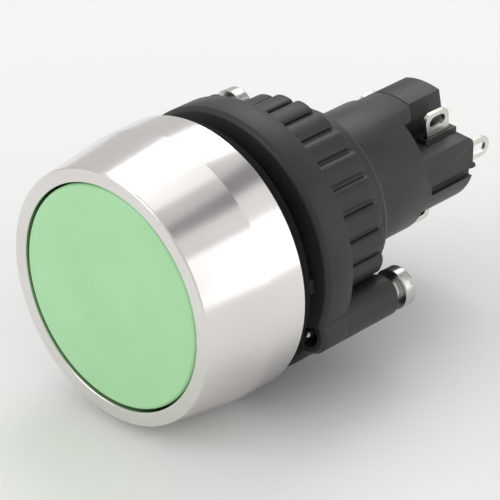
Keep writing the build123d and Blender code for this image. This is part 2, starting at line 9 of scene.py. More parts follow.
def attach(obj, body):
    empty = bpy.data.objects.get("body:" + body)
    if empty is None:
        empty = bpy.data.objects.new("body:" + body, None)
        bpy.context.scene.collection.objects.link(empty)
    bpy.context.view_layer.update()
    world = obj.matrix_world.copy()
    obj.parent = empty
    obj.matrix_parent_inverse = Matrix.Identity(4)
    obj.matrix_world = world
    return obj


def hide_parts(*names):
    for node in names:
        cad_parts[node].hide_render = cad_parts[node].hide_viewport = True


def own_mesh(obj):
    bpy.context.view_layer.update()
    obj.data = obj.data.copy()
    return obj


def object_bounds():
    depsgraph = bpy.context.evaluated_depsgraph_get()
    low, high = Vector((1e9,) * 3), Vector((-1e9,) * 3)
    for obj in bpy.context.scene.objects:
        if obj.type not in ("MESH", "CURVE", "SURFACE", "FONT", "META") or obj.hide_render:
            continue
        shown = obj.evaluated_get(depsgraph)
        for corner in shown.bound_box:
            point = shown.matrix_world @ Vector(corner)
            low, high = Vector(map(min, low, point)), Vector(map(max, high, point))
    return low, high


# A round panel pushbutton switch: green cap, metal bezel, ribbed clamping ring, solder terminals.
# Sizes are in millimetres and degrees; a mesh is worked out in millimetres and made in metres.
# +Y runs from the button to the terminals, +Z is up.

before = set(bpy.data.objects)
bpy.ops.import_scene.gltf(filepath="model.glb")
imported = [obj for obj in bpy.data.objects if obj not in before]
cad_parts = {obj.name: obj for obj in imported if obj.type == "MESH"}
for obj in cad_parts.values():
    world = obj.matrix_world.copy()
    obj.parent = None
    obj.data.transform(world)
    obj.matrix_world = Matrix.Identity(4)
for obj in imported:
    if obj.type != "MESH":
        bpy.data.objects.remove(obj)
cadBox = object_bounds()
print("frame loaded:", len(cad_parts), "nodes")

millimetre = 0.001


# Shapes from arrays

# Rounds every corner of a closed outline: each arc is tangent to both edges that meet there.
# A corner is (radius from the axis, y, rounding).
def roundOutline(corners, steps=5):
    points = np.array([c[:2] for c in corners], float)
    rounding = np.array([c[2] for c in corners], float)[:, None]
    toLast, toNext = np.roll(points, 1, 0) - points, np.roll(points, -1, 0) - points
    toLast /= np.linalg.norm(toLast, axis=1, keepdims=True)
    toNext /= np.linalg.norm(toNext, axis=1, keepdims=True)
    half = np.arccos(np.clip((toLast * toNext).sum(1, keepdims=True), -1, 1)) / 2
    middle = toLast + toNext
    middle /= np.linalg.norm(middle, axis=1, keepdims=True)
    centre = points + middle * rounding / np.sin(half)
    first = points + toLast * rounding / np.tan(half) - centre
    last = points + toNext * rounding / np.tan(half) - centre
    t = np.linspace(0, 1, steps + 1)[None, :, None]
    sweep = (np.pi - 2 * half)[:, :, None]
    swept = np.sin((1 - t) * sweep) * first[:, None] + np.sin(t * sweep) * last[:, None]
    return (centre[:, None] + swept / np.sin(sweep)).reshape(-1, 2)


# A point at an angle round the button's axis: x = r cos a, z = r sin a, and y along the axis.
def polarGrid(radius, along, angle):
    radius, along, angle = np.broadcast_arrays(radius, along, angle)
    return np.stack([radius * np.cos(angle), along, radius * np.sin(angle)], -1)


# A closed outline carried once round the axis, with as many columns as segments.
def turnOutline(outline, segments=256):
    angle = np.linspace(0, 2 * np.pi, segments, endpoint=False)[None]
    rows = np.vstack([outline, outline[:1]])
    return polarGrid(rows[:, :1], rows[:, 1:], angle)


# Joins grids of points into one mesh: each cell of four neighbours is a face, and the columns close on themselves.
def makePiece(name, grids, body, nodes, material, sharpAngle=30, keepFace=None):
    points, faces, offset = [], [], 0
    for grid in grids:
        rows, columns = grid.shape[:2]
        index = offset + np.arange(rows * columns).reshape(rows, columns)
        index = np.hstack([index, index[:, :1]])
        cells = np.stack([index[:-1, :-1], index[:-1, 1:], index[1:, 1:], index[1:, :-1]], -1).reshape(-1, 4)
        points.append(grid.reshape(-1, 3))
        faces.append(cells)
        offset += rows * columns
    points, faces = np.vstack(points), np.vstack(faces)
    if keepFace is not None:
        faces = faces[keepFace(points[faces].mean(1))]
    mesh = bpy.data.meshes.new(name)
    mesh.from_pydata((points * millimetre).tolist(), [], faces.tolist())
    shape = bmesh.new()
    shape.from_mesh(mesh)
    bmesh.ops.remove_doubles(shape, verts=shape.verts, dist=1.5e-6)
    bmesh.ops.dissolve_degenerate(shape, edges=shape.edges, dist=1e-6)
    loose = [v for v in shape.verts if not v.link_faces]
    bmesh.ops.delete(shape, geom=loose, context="VERTS")
    bmesh.ops.recalc_face_normals(shape, faces=shape.faces)
    shape.to_mesh(mesh)
    shape.free()
    return placePiece(name, mesh, body, nodes, material, sharpAngle)


# Smooths a mesh up to an angle, gives it its finish and hangs it on its body in place of its nodes.
def placePiece(name, mesh, body, nodes, material, sharpAngle=30):
    mesh.shade_smooth()
    mesh.set_sharp_from_angle(angle=math.radians(sharpAngle))
    mesh.materials.clear()
    mesh.materials.append(material)
    piece = bpy.data.objects.new(name, mesh)
    bpy.context.scene.collection.objects.link(piece)
    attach(piece, body)
    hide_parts(*nodes)
    print("piece", name, len(mesh.polygons), "faces")
    return piece


# A copy of a CAD node, merged, with its triangles joined into flat faces and its edges broken by a small bevel.
# Some of its corners may be moved first, all at once, by a function of their places in millimetres.
def softenNode(name, node, body, slotName, material, bevelWidth, moveCorners=None, flatAngle=0.5, sharpAngle=34):
    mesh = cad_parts[node].data.copy()
    mesh.name = name
    if moveCorners:
        place = np.empty(len(mesh.vertices) * 3)
        mesh.vertices.foreach_get("co", place)
        mesh.vertices.foreach_set("co", (moveCorners(place.reshape(-1, 3) / millimetre) * millimetre).ravel())
    shape = bmesh.new()
    shape.from_mesh(mesh)
    bmesh.ops.remove_doubles(shape, verts=shape.verts, dist=2e-6)
    bmesh.ops.dissolve_limit(
        shape, angle_limit=math.radians(flatAngle), verts=shape.verts, edges=shape.edges, delimit={"NORMAL"}
    )
    bmesh.ops.recalc_face_normals(shape, faces=shape.faces)
    shape.to_mesh(mesh)
    shape.free()
    piece = placePiece(name, mesh, body, [node], material, sharpAngle)
    if not bevelWidth:
        return piece
    bevel = piece.modifiers.new("brokenEdges", "BEVEL")
    bevel.width = bevelWidth * millimetre
    bevel.segments = 2
    bevel.limit_method = "ANGLE"
    bevel.angle_limit = math.radians(40)
    bevel.harden_normals = False
    bevel.use_clamp_overlap = True
    return piece


# Shader node groups

# An empty node group with number inputs and the outputs that are named.
def newGroup(name, inputs, outputs):
    tree = bpy.data.node_groups.new(name, "ShaderNodeTree")
    for socketName, value in inputs:
        socket = tree.interface.new_socket(socketName, in_out="INPUT", socket_type="NodeSocketFloat")
        socket.default_value = value
    for socketName, kind in outputs:
        tree.interface.new_socket(socketName, in_out="OUTPUT", socket_type=kind)
    return tree, tree.nodes.new("NodeGroupInput"), tree.nodes.new("NodeGroupOutput")


# A node with its settings and the constants on its sockets.
def addNode(tree, kind, settings=None, sockets=None):
    node = tree.nodes.new(kind)
    for key, value in (settings or {}).items():
        setattr(node, key, value)
    for key, value in (sockets or {}).items():
        node.inputs[key].default_value = value
    return node


# Fine texture of a moulded surface: small noise and smaller cells, as a bump, with a mask of slow changes.
def buildMouldedGrain():
    tree, source, target = newGroup(
        "mouldedGrain",
        [("Size", 9000.0), ("Depth", 0.25), ("Spread", 0.00002)],
        [("Mottle", "NodeSocketFloat"), ("Speckle", "NodeSocketFloat"), ("Normal", "NodeSocketVector")],
    )
    place = addNode(tree, "ShaderNodeTexCoord")
    fine = addNode(tree, "ShaderNodeTexNoise", {"noise_dimensions": "3D"}, {"Detail": 3.0, "Roughness": 0.6})
    cells = addNode(tree, "ShaderNodeTexVoronoi", {"feature": "SMOOTH_F1"}, {"Smoothness": 0.6})
    slow = addNode(tree, "ShaderNodeTexNoise", {}, {"Scale": 140.0, "Detail": 4.0, "Roughness": 0.55})
    mixed = addNode(tree, "ShaderNodeMath", {"operation": "ADD"})
    bump = addNode(tree, "ShaderNodeBump")
    tree.links.new(place.outputs["Object"], fine.inputs["Vector"])
    tree.links.new(place.outputs["Object"], cells.inputs["Vector"])
    tree.links.new(place.outputs["Object"], slow.inputs["Vector"])
    tree.links.new(source.outputs["Size"], fine.inputs["Scale"])
    tree.links.new(source.outputs["Size"], cells.inputs["Scale"])
    tree.links.new(fine.outputs["Fac"], mixed.inputs[0])
    tree.links.new(cells.outputs["Distance"], mixed.inputs[1])
    tree.links.new(mixed.outputs[0], bump.inputs["Height"])
    tree.links.new(source.outputs["Depth"], bump.inputs["Strength"])
    tree.links.new(source.outputs["Spread"], bump.inputs["Distance"])
    tree.links.new(slow.outputs["Fac"], target.inputs["Mottle"])
    tree.links.new(fine.outputs["Fac"], target.inputs["Speckle"])
    tree.links.new(bump.outputs["Normal"], target.inputs["Normal"])
    return tree


# Lines left by the lathe: noise read along y and along the distance from the axis, so it runs round the piece.
def buildTurnedLines():
    tree, source, target = newGroup(
        "turnedLines",
        [("Fineness", 22000.0), ("Depth", 0.2), ("Spread", 0.000004)],
        [("Lines", "NodeSocketFloat"), ("Smudge", "NodeSocketFloat"), ("Normal", "NodeSocketVector")],
    )
    place = addNode(tree, "ShaderNodeTexCoord")
    parts = addNode(tree, "ShaderNodeSeparateXYZ")
    across = addNode(tree, "ShaderNodeMath", {"operation": "MULTIPLY"})
    upward = addNode(tree, "ShaderNodeMath", {"operation": "MULTIPLY"})
    total = addNode(tree, "ShaderNodeMath", {"operation": "ADD"})
    radius = addNode(tree, "ShaderNodeMath", {"operation": "SQRT"})
    travelled = addNode(tree, "ShaderNodeMath", {"operation": "ADD"})
    lines = addNode(tree, "ShaderNodeTexNoise", {"noise_dimensions": "1D"}, {"Detail": 4.0, "Roughness": 0.7})
    smudge = addNode(tree, "ShaderNodeTexNoise", {}, {"Scale": 90.0, "Detail": 3.0, "Distortion": 0.6})
    bump = addNode(tree, "ShaderNodeBump")
    tree.links.new(place.outputs["Object"], parts.inputs[0])
    tree.links.new(place.outputs["Object"], smudge.inputs["Vector"])
    for axis, square in (("X", across), ("Z", upward)):
        tree.links.new(parts.outputs[axis], square.inputs[0])
        tree.links.new(parts.outputs[axis], square.inputs[1])
    tree.links.new(across.outputs[0], total.inputs[0])
    tree.links.new(upward.outputs[0], total.inputs[1])
    tree.links.new(total.outputs[0], radius.inputs[0])
    tree.links.new(radius.outputs[0], travelled.inputs[0])
    tree.links.new(parts.outputs["Y"], travelled.inputs[1])
    tree.links.new(travelled.outputs[0], lines.inputs["W"])
    tree.links.new(source.outputs["Fineness"], lines.inputs["Scale"])
    tree.links.new(lines.outputs["Fac"], bump.inputs["Height"])
    tree.links.new(source.outputs["Depth"], bump.inputs["Strength"])
    tree.links.new(source.outputs["Spread"], bump.inputs["Distance"])
    tree.links.new(lines.outputs["Fac"], target.inputs["Lines"])
    tree.links.new(smudge.outputs["Fac"], target.inputs["Smudge"])
    tree.links.new(bump.outputs["Normal"], target.inputs["Normal"])
    return tree


# Marks on rolled or plated metal: long noise along one direction and fine pits.
def buildPlatedMarks():
    tree, source, target = newGroup(
        "platedMarks",
        [("Size", 3000.0), ("Depth", 0.15), ("Spread", 0.00001)],
        [("Streaks", "NodeSocketFloat"), ("Stain", "NodeSocketFloat"), ("Normal", "NodeSocketVector")],
    )
    place = addNode(tree, "ShaderNodeTexCoord")
    stretch = addNode(tree, "ShaderNodeMapping", {}, {"Scale": (1.0, 0.08, 1.0)})
    streaks = addNode(tree, "ShaderNodeTexNoise", {}, {"Detail": 5.0, "Roughness": 0.7})
    stain = addNode(tree, "ShaderNodeTexNoise", {}, {"Scale": 420.0, "Detail": 3.0})
    bump = addNode(tree, "ShaderNodeBump")
    tree.links.new(place.outputs["Object"], stretch.inputs["Vector"])
    tree.links.new(stretch.outputs["Vector"], streaks.inputs["Vector"])
    tree.links.new(place.outputs["Object"], stain.inputs["Vector"])
    tree.links.new(source.outputs["Size"], streaks.inputs["Scale"])
    tree.links.new(streaks.outputs["Fac"], bump.inputs["Height"])
    tree.links.new(source.outputs["Depth"], bump.inputs["Strength"])
    tree.links.new(source.outputs["Spread"], bump.inputs["Distance"])
    tree.links.new(streaks.outputs["Fac"], target.inputs["Streaks"])
    tree.links.new(stain.outputs["Fac"], target.inputs["Stain"])
    tree.links.new(bump.outputs["Normal"], target.inputs["Normal"])
    return tree


grainGroup, linesGroup, marksGroup = buildMouldedGrain(), buildTurnedLines(), buildPlatedMarks()
print("node groups made")


# Materials

# A colour as a screen shows it, 0 to 255, turned into the linear values that a shader reads.
def fromScreen(red, green, blue):
    channels = np.array([red, green, blue]) / 255
    linear = np.where(channels <= 0.04045, channels / 12.92, ((channels + 0.055) / 1.055) ** 2.4)
    return (*linear.tolist(), 1.0)


# A material: a shader with its constants, a group for the surface, two shades mixed by one of the
# group's masks, and a roughness that moves between two values with another.
def makeMaterial(name, group, values, shades, shadeMask, rough, roughMask, constants):
    material = bpy.data.materials.new(name)
    material.use_nodes = True
    tree = material.node_tree
    shader = tree.nodes["Principled BSDF"]
    for key, value in constants.items():
        shader.inputs[key].default_value = value
    surface = addNode(tree, "ShaderNodeGroup", {"node_tree": group}, values)
    mix = addNode(tree, "ShaderNodeMix", {"data_type": "RGBA"})
    mix.inputs["A"].default_value = fromScreen(*shades[0])
    mix.inputs["B"].default_value = fromScreen(*shades[1])
    spread = addNode(tree, "ShaderNodeMapRange", {}, {"From Min": 0.35, "From Max": 0.65})
    polish = addNode(
        tree, "ShaderNodeMapRange", {}, {"From Min": 0.3, "From Max": 0.7, "To Min": rough[0], "To Max": rough[1]}
    )
    tree.links.new(surface.outputs[shadeMask], spread.inputs["Value"])
    tree.links.new(spread.outputs["Result"], mix.inputs["Factor"])
    tree.links.new(mix.outputs["Result"], shader.inputs["Base Color"])
    tree.links.new(surface.outputs[roughMask], polish.inputs["Value"])
    tree.links.new(polish.outputs["Result"], shader.inputs["Roughness"])
    tree.links.new(surface.outputs["Normal"], shader.inputs["Normal"])
    return material


plastic = {"IOR": 1.5, "Metallic": 0.0}
metal = {"Metallic": 1.0}
finishes = {
    "satinMetal": makeMaterial(
        "satinMetal", linesGroup, {"Depth": 0.10}, ((226, 222, 220), (232, 229, 227)), "Smudge",
        (0.15, 0.21), "Lines", metal,
    ),
    "greenPlastic": makeMaterial(
        "greenPlastic", grainGroup, {"Size": 2600.0, "Depth": 0.02}, ((164, 215, 162), (168, 220, 166)), "Mottle",
        (0.20, 0.27), "Mottle", {**plastic, "Coat Weight": 0.25, "Coat Roughness": 0.12, "Subsurface Weight": 0.08,
                                 "Subsurface Scale": 0.0006, "Subsurface Radius": (0.5, 1.0, 0.5)},
    ),
    "blackRubber": makeMaterial(
        "blackRubber", grainGroup, {"Size": 7000.0, "Depth": 0.12}, ((8, 8, 9), (13, 13, 14)), "Mottle",
        (0.65, 0.8), "Speckle", {**plastic, "Specular IOR Level": 0.15},
    ),
    # Painted light: the washer's plastic is painted lighter than the ring's, so its colour stands in for light that
    # the shaded gap behind the bezel does not get
    "washerPlasticPaintedLight": makeMaterial(
        "washerPlasticPaintedLight", grainGroup, {"Size": 8000.0, "Depth": 0.16}, ((44, 44, 45), (50, 50, 51)), "Mottle",
        (0.5, 0.62), "Speckle", plastic,
    ),
    "ringPlastic": makeMaterial(
        "ringPlastic", grainGroup, {"Size": 9000.0, "Depth": 0.22}, ((35, 35, 36), (40, 40, 41)), "Mottle",
        (0.42, 0.54), "Speckle", plastic,
    ),
    "casingPlastic": makeMaterial(
        "casingPlastic", grainGroup, {"Size": 12000.0, "Depth": 0.16}, ((36, 36, 37), (41, 41, 42)), "Mottle",
        (0.40, 0.5), "Speckle", plastic,
    ),
    "nickelScrew": makeMaterial(
        "nickelScrew", marksGroup, {"Size": 5000.0, "Depth": 0.2}, ((192, 190, 187), (210, 208, 205)), "Stain",
        (0.17, 0.27), "Streaks", metal,
    ),
    "tinnedStrip": makeMaterial(
        "tinnedStrip", marksGroup, {"Size": 3500.0, "Depth": 0.25}, ((212, 210, 204), (230, 229, 224)), "Stain",
        (0.24, 0.38), "Streaks", metal,
    ),
    "drawnWire": makeMaterial(
        "drawnWire", marksGroup, {"Size": 4000.0, "Depth": 0.2}, ((176, 177, 180), (196, 197, 200)), "Stain",
        (0.2, 0.32), "Streaks", metal,
    ),
    "contactBronze": makeMaterial(
        "contactBronze", marksGroup, {"Size": 3000.0, "Depth": 0.2}, ((205, 158, 104), (222, 176, 122)), "Stain",
        (0.22, 0.36), "Streaks", metal,
    ),
    "contactSilver": makeMaterial(
        "contactSilver", marksGroup, {"Size": 6000.0, "Depth": 0.1}, ((228, 228, 226), (240, 240, 238)), "Stain",
        (0.18, 0.3), "Streaks", metal,
    ),
    "whitePlate": makeMaterial(
        "whitePlate", grainGroup, {"Size": 6000.0, "Depth": 0.08}, ((232, 233, 230), (240, 241, 238)), "Mottle",
        (0.45, 0.55), "Mottle", plastic,
    ),
    "greyMoulding": makeMaterial(
        "greyMoulding", grainGroup, {"Size": 8000.0, "Depth": 0.18}, ((140, 140, 143), (154, 154, 157)), "Mottle",
        (0.4, 0.52), "Speckle", plastic,
    ),
    "paleMoulding": makeMaterial(
        "paleMoulding", grainGroup, {"Size": 9000.0, "Depth": 0.08}, ((206, 205, 200), (216, 215, 211)), "Mottle",
        (0.28, 0.36), "Mottle", plastic,
    ),
}
nodeFinish = {  # the CAD nodes that stay as they are
    "marking_plate": "whitePlate", "button_carrier": "greyMoulding", "contact_slide": "greyMoulding",
    "plunger": "paleMoulding", "plunger_oring": "blackRubber", "moving_contact_right": "contactBronze",
    "moving_contact_left": "contactBronze", "moving_rivets": "contactSilver", "fixed_rivets": "contactSilver",
}
for node, finish in nodeFinish.items():
    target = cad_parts[node].data
    target.materials.clear()
    target.materials.append(finishes[finish])
print("materials made:", len(finishes))


# Front bezel: a turned shell with a cone and a short rear band
bezel = {
    "front": -14.2, "kink": -6.0, "step": -8.0, "rear": -1.74, "frontRadius": 13.61, "kinkRadius": 14.7,
    "rearRadius": 14.75, "bore": 12.11, "wall": 1.45, "frontEdge": 0.2, "innerEdge": 0.12, "rearEdge": 0.12,
}
bezelOutline = roundOutline([
    (bezel["bore"], bezel["front"], bezel["innerEdge"]),
    (bezel["frontRadius"], bezel["front"], bezel["frontEdge"]),
    (bezel["kinkRadius"], bezel["kink"], 0.05),
    (bezel["rearRadius"], bezel["rear"], bezel["rearEdge"]),
    (bezel["rearRadius"] - bezel["wall"], bezel["rear"], 0.05),
    (bezel["rearRadius"] - bezel["wall"], bezel["step"], 0.05),
    (bezel["bore"], bezel["step"], 0.05),
])
makePiece("frontBezel", [turnOutline(bezelOutline, 360)], "switch", ["front_bezel"],
          finishes["satinMetal"], 6)

# Button cap: a shallow cup
cap = {"front": -14.1, "rear": -11.4, "radius": 11.89, "face": 1.2, "wall": 0.96, "edge": 0.4}
capOutline = roundOutline([
    (0.02, cap["front"], 0.001),
    (cap["radius"], cap["front"], cap["edge"]),
    (cap["radius"], cap["rear"], 0.1),
    (cap["radius"] - cap["wall"], cap["rear"], 0.1),
    (cap["radius"] - cap["wall"], cap["front"] + cap["face"], 0.1),
    (0.02, cap["front"] + cap["face"], 0.001),
], 7)
capOutline[capOutline[:, 0] < 0.05, 0] = 0
makePiece("buttonCap", [turnOutline(capOutline, 256)], "button", ["button_cap"],
          finishes["greenPlastic"], 35)

# Panel seal: a flat ring with a thin lip, cut out inside for the housing's lug
seal = {"front": -1.74, "radius": 14.0, "lip": 0.45, "bore": 11.15, "lugReach": 12.9, "lugHalfWidth": 0.85}
sealAngle = np.radians(np.linspace(-180, 180, 360, endpoint=False))
lugEdge = math.asin(seal["lugHalfWidth"] / seal["bore"])
sealAngle = np.sort(np.concatenate([sealAngle, [-lugEdge - 1e-4, -lugEdge, lugEdge, lugEdge + 1e-4]]))
sealInner = np.where(np.abs(sealAngle) <= lugEdge + 1e-6, seal["lugReach"], seal["bore"])
sealRows = [
    (sealInner, seal["front"]),
    (seal["radius"] - 0.1, seal["front"]),
    (seal["radius"], seal["front"] + 0.1),
    (seal["radius"], -seal["lip"] - 0.12),
    (seal["radius"] - 0.03, -seal["lip"]),
    (seal["radius"] - seal["lip"] / 2, -0.05),
    (seal["radius"] - seal["lip"] / 2 - 0.06, 0.0),
    (sealInner, 0.0),
    (sealInner, seal["front"]),
]
makePiece("panelSeal", [np.stack([polarGrid(r, y, sealAngle) for r, y in sealRows])], "switch", ["panel_seal"],
          finishes["blackRubber"], 35)

# Actuator housing: flange, neck, rear collar, socket and guide are one turned outline; the lug is a bar
housing = {
    "step": -8.0, "seat": -1.74, "flange": 13.25, "cavity": 9.4, "neck": 11.1, "neckEnd": 12.3, "collar": 9.85,
    "collarEnd": 15.9, "chamferLength": 0.42, "chamferDepth": 0.15, "socket": 7.45, "partition": (1.0, 3.0),
    "guide": 2.95, "guideWall": 1.4, "guideFront": -1.0, "lugReach": 12.85, "lugHalf": 0.8, "lugEnd": 1.6,
}
housingOutline = roundOutline([
    (housing["cavity"], housing["step"], 0.1),
    (housing["flange"], housing["step"], 0.1),
    (housing["flange"], housing["seat"], 0.05),
    (housing["neck"], housing["seat"], 0.05),
    (housing["neck"], housing["neckEnd"], 0.1),
    (housing["collar"], housing["neckEnd"], 0.05),
    (housing["collar"], housing["collarEnd"] - housing["chamferLength"], 0.06),
    (housing["collar"] - housing["chamferDepth"], housing["collarEnd"], 0.06),
    (housing["socket"], housing["collarEnd"], 0.06),
    (housing["socket"], housing["partition"][1], 0.1),
    (housing["guide"], housing["partition"][1], 0.05),
    (housing["guide"], housing["guideFront"], 0.05),
    (housing["guide"] + housing["guideWall"], housing["guideFront"], 0.1),
    (housing["guide"] + housing["guideWall"], housing["partition"][0], 0.1),
    (housing["cavity"], housing["partition"][0], 0.1),
], 3)
lugOutline = roundOutline([
    (housing["neck"] - 1, -housing["lugHalf"], 0.02), (housing["lugReach"], -housing["lugHalf"], 0.1),
    (housing["lugReach"], housing["lugHalf"], 0.1), (housing["neck"] - 1, housing["lugHalf"], 0.02),
], 3)
lugMiddle = lugOutline.mean(0)
lugRows = []  # the bar's outline shrinks to its middle at both ends: p = m + (q - m) s
for share, y in ((0, housing["seat"]), (1, housing["seat"]), (1, housing["lugEnd"] - 0.1),
                 (0.97, housing["lugEnd"] - 0.03), (0.9, housing["lugEnd"]), (0, housing["lugEnd"])):
    place = lugMiddle + (lugOutline - lugMiddle) * share
    lugRows.append(np.stack([place[:, 0], np.full(len(place), y), place[:, 1]], -1))
makePiece("actuatorHousing", [turnOutline(housingOutline), np.stack(lugRows)], "switch", ["actuator_housing"],
          finishes["ringPlastic"], 32)

# Clamping ring: a round flange, a narrower hub with ribs, and two screw bosses
ring = {
    "front": 2.05, "length": 10.75, "band": 3.65, "radius": 14.3, "bore": 11.15, "frontChamfer": 0.42,
    "crest": 12.2, "lowDrop": 0.28, "floorDrop": 0.62, "ribs": 26, "phase": 9.6, "edgeDrop": 0.09, "edgeAngle": 0.8,
    "grooveFrom": -0.8, "grooveTo": 1.0, "wallAngle": 0.2, "roundAngle": 4.4, "rearEdge": 0.26, "rootFillet": 0.12,
    "bossAngle": -28.5, "bossCircle": 13.15, "bossRadius": 2.25, "bossRear": 13.4, "holeRadius": 1.3, "blend": 0.12,
    "bossClear": 9.7, "holeCollar": 0.5, "ribRows": (8.0, 11.0),
}
ribPitch = 360 / ring["ribs"]
lobeAngle = ribPitch + ring["grooveFrom"] - ring["roundAngle"] - ring["grooveTo"] - ring["wallAngle"]
bossAngles = np.radians([ring["bossAngle"], ring["bossAngle"] + 180])
bossCentres = ring["bossCircle"] * np.stack([np.cos(bossAngles), np.sin(bossAngles)], -1)


# How far an angle lies from another, between minus half a turn and half a turn.
def turnFrom(angle, centre):
    return (angle - centre + np.pi) % (2 * np.pi) - np.pi


# Where a ray from the axis leaves the nearer boss's circle: d cos a + sqrt(r^2 - (d sin a)^2), else nothing.
def bossReach(angle, radius):
    reach = np.zeros_like(angle)
    for centre in bossAngles:
        turned = turnFrom(angle, centre)
        inside = radius**2 - (ring["bossCircle"] * np.sin(turned)) ** 2
        out = ring["bossCircle"] * np.cos(turned) + np.sqrt(np.maximum(inside, 0))
        reach = np.maximum(reach, np.where((inside > 0) & (np.abs(turned) < 0.5), out, 0))
    return reach


# Ribs, from the start of a lobe: it rises to its crest as a parabola, crest - drop (1 - s)^2, turns down to the
# groove's floor as a quarter ellipse, floor + height sqrt(1 - t^2), and a steep wall leads to the next lobe.
# Beside a boss the floor runs on into its side.
def ribReach(angle):
    along = (np.degrees(angle) - ring["phase"] - ring["grooveTo"] - ring["wallAngle"]) % ribPitch
    drop = ring["lowDrop"] * (1 - np.clip(along / lobeAngle, 0, 1)) ** 2
    drop += ring["edgeDrop"] * (1 - np.clip(along / ring["edgeAngle"], 0, 1)) ** 2
    turning = np.clip((along - lobeAngle) / ring["roundAngle"], 0, 1)
    floorRadius = ring["crest"] - ring["floorDrop"]
    surface = floorRadius + (ring["floorDrop"] - drop) * np.sqrt(1 - turning**2)
    wall = np.clip((along - ribPitch + ring["wallAngle"]) / ring["wallAngle"], 0, 1)
    surface = surface + wall * (ring["floorDrop"] - ring["lowDrop"] - ring["edgeDrop"])
    fromBoss = np.min([np.abs(turnFrom(angle, centre)) for centre in bossAngles], axis=0)
    return np.where(np.degrees(fromBoss) < ring["bossClear"], floorRadius, surface)


# The larger of two values with a fillet where they cross: b + (a - b) h + w h (1 - h), h going from 0 to 1.
def smoothMax(a, b, width):
    overlap = np.clip(0.5 + 0.5 * (a - b) / width, 0, 1)
    return b + (a - b) * overlap + width * overlap * (1 - overlap)


ringRear, flangeRear = ring["front"] + ring["length"], ring["front"] + ring["band"]
ribStations = np.concatenate([
    np.linspace(0, lobeAngle, 14), lobeAngle + ring["roundAngle"] * np.sin(np.linspace(0, np.pi / 2, 9))[1:],
    [ribPitch - ring["wallAngle"]],
])
ribPlaces = ring["phase"] + ring["grooveTo"] + ring["wallAngle"] + ribPitch * np.arange(ring["ribs"])
ringAngle = np.radians((ribPlaces[:, None] + ribStations[None]).ravel() % 360)
bossSpread = math.asin(ring["bossRadius"] / ring["bossCircle"])
bossPlaces = bossAngles[:, None] + bossSpread * np.sin(np.linspace(-np.pi / 2, np.pi / 2, 41))[None]
ringAngle = np.unique(np.round(np.concatenate([ringAngle, bossPlaces.ravel() % (2 * np.pi)]), 5))
boss = bossReach(ringAngle, ring["bossRadius"])
flange = smoothMax(np.full_like(boss, ring["radius"]), boss, ring["blend"])
hub = ribReach(ringAngle)
bore = np.full_like(boss, ring["bore"])
ringRows = [(bore + 0.1, ring["front"])]
for share in np.linspace(0.1, 1, 18):  # the front face, in steps fine enough for the screw hole
    ringRows.append((bore + 0.1 + (flange - ring["frontChamfer"] - bore - 0.1) * share, ring["front"]))
ringRows += [(flange - inward, ring["front"] + back) for inward, back in ((0.38, 0.02), (0.03, 0.39), (0, 0.45))]
ringRows += [(flange - inward, flangeRear - back) for inward, back in ((0, 0.1), (0.03, 0.03), (0.1, 0))]
for turn in np.linspace(0, np.pi / 2, 4):  # a small fillet where the hub meets the flange
    inward = ring["rootFillet"] * (1 - math.sin(turn))
    ringRows.append((hub + inward, flangeRear + ring["rootFillet"] * (1 - math.cos(turn))))
ringRows += [(hub, y) for y in ring["ribRows"]]
for turn in np.linspace(0, np.pi / 2, 6):  # the rounded rear edge
    inward, forward = ring["rearEdge"] * (1 - math.cos(turn)), ring["rearEdge"] * (1 - math.sin(turn))
    ringRows.append((hub - inward, ringRear - forward))
ringRows += [
    (bore + 0.12, ringRear), (bore, ringRear - 0.12), (bore, ring["front"] + 0.1), (bore + 0.1, ring["front"]),
]


# Leaves out the front face's cells over a screw hole; a flat collar round the hole covers their edge.
def awayFromHoles(centres):
    onFace = centres[:, 1] < ring["front"] + 0.001
    near = np.min([np.hypot(centres[:, 0] - x, centres[:, 2] - z) for x, z in bossCentres], axis=0)
    return ~(onFace & (near < ring["holeRadius"] + 0.12))


# A closed outline turned about a boss's own axis.
def turnAbout(outline, centre, segments=96):
    return turnOutline(outline, segments) + np.array([centre[0], 0, centre[1]])


collarRadius = ring["holeRadius"] + ring["holeCollar"]
bossOutline = roundOutline([
    (ring["holeRadius"], ring["front"] - 0.004, 0.02),
    (collarRadius, ring["front"] - 0.004, 0.02),
    (collarRadius, flangeRear - 0.1, 0.02),
    (ring["bossRadius"], flangeRear - 0.1, 0.001),
    (ring["bossRadius"], ring["bossRear"], 0.3),
    (ring["holeRadius"], ring["bossRear"], 0.12),
])
makePiece("clampingRing", [np.stack([polarGrid(r, y, ringAngle) for r, y in ringRows])]
          + [turnAbout(bossOutline, c) for c in bossCentres], "switch", ["clamping_ring"],
          finishes["ringPlastic"], 32, awayFromHoles)

# Washer let into the ring's front face, with a V cut at each boss
washer = {"inner": 11.7, "outer": 13.85, "thickness": 0.6, "proud": 0.03, "apex": 12.24, "halfAngle": 53.0}
washerAngle = np.radians(np.linspace(0, 360, 900, endpoint=False))
washerAngle = np.unique(np.round(np.concatenate([washerAngle, np.mod(bossAngles, 2 * np.pi)]), 6))
washerOuter = np.full_like(washerAngle, washer["outer"])
for centre in bossAngles:  # the V's sides: r = apex sin h / sin(h - a)
    turned = np.abs(turnFrom(washerAngle, centre))
    halfOpen = math.radians(washer["halfAngle"])
    side = washer["apex"] * math.sin(halfOpen) / np.sin(np.maximum(halfOpen - turned, 0.2))
    washerOuter = np.where(turned < 0.5, np.minimum(washerOuter, side), washerOuter)
washerFront, washerRear = ring["front"] - washer["proud"], ring["front"] + washer["thickness"]
washerInner = np.full_like(washerAngle, washer["inner"])
washerRows = [
    (washerInner, washerRear), (washerInner, washerFront + 0.05), (washerInner + 0.05, washerFront),
    (washerOuter - 0.04, washerFront), (washerOuter, washerFront + 0.04), (washerOuter, washerRear),
    (washerInner, washerRear),
]
